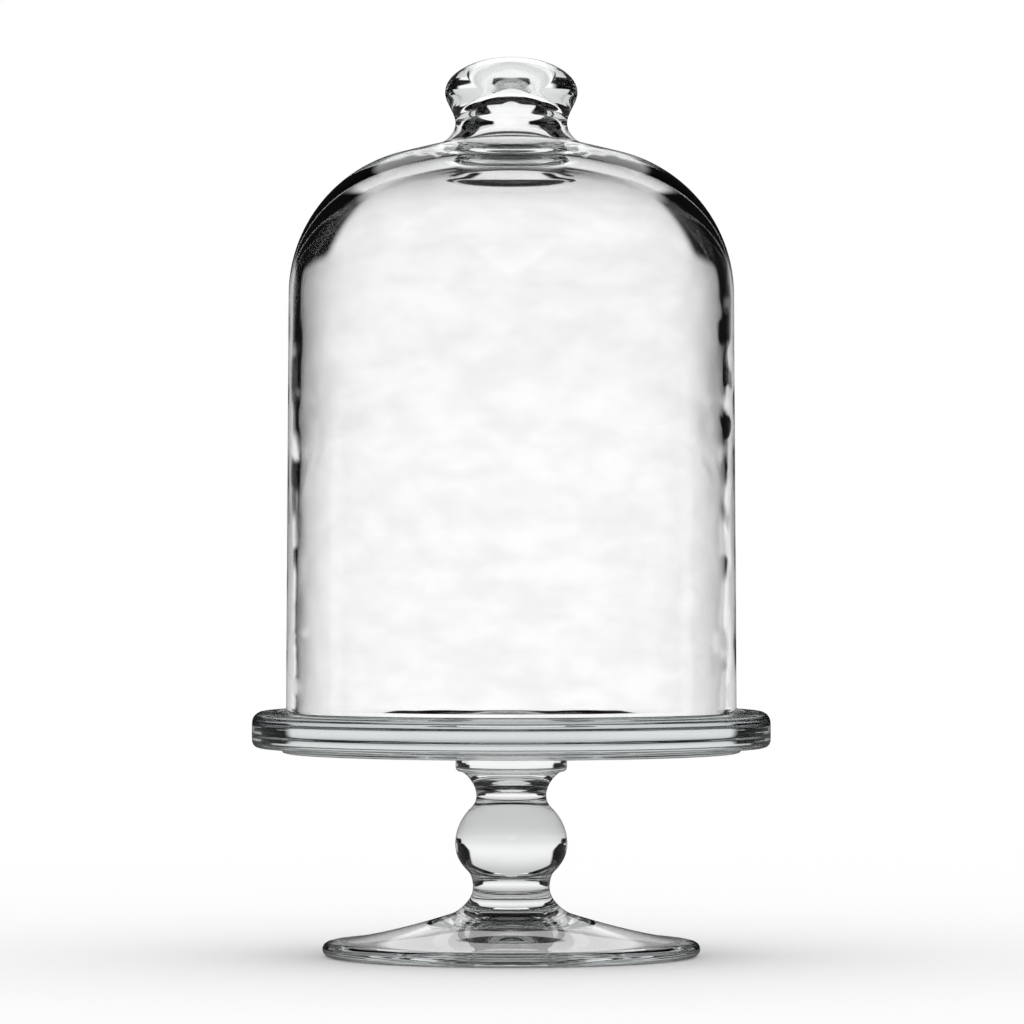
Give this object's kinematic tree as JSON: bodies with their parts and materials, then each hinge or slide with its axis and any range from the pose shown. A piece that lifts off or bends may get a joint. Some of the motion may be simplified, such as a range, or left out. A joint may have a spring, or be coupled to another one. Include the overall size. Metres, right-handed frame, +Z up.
{
  "type": "cake dome on a footed plate",
  "caption": "Clear glass bell-shaped food cover with a hollow knob, standing loose on a footed glass plate with a ball stem; the cover lifts straight off.",
  "frame": {"origin": "on the table, under the middle of the foot", "axes": "+Z up along the axis of the foot, stem, plate and bell; -Y towards the viewer of the picture; +X to the viewer's right"},
  "size_m": [0.12, 0.12, 0.208],
  "materials": {
    "dome_glass": "clear, smooth outside, lightly hammered inside",
    "stand_glass": "clear, fire-polished"
  },
  "bodies": {
    "stand": {"plate": "stand_glass", "stem_collar": "stand_glass", "stem_neck": "stand_glass", "stem_ball": "stand_glass", "stem_base": "stand_glass", "foot": "stand_glass"},
    "dome": {"bell": "dome_glass", "knob": "dome_glass"}
  },
  "joints": [
    {"name": "dome_lift", "type": "slide", "parent": "stand", "child": "dome", "axis": [0, 0, 1], "range_m": [0, 0.15]}
  ]
}
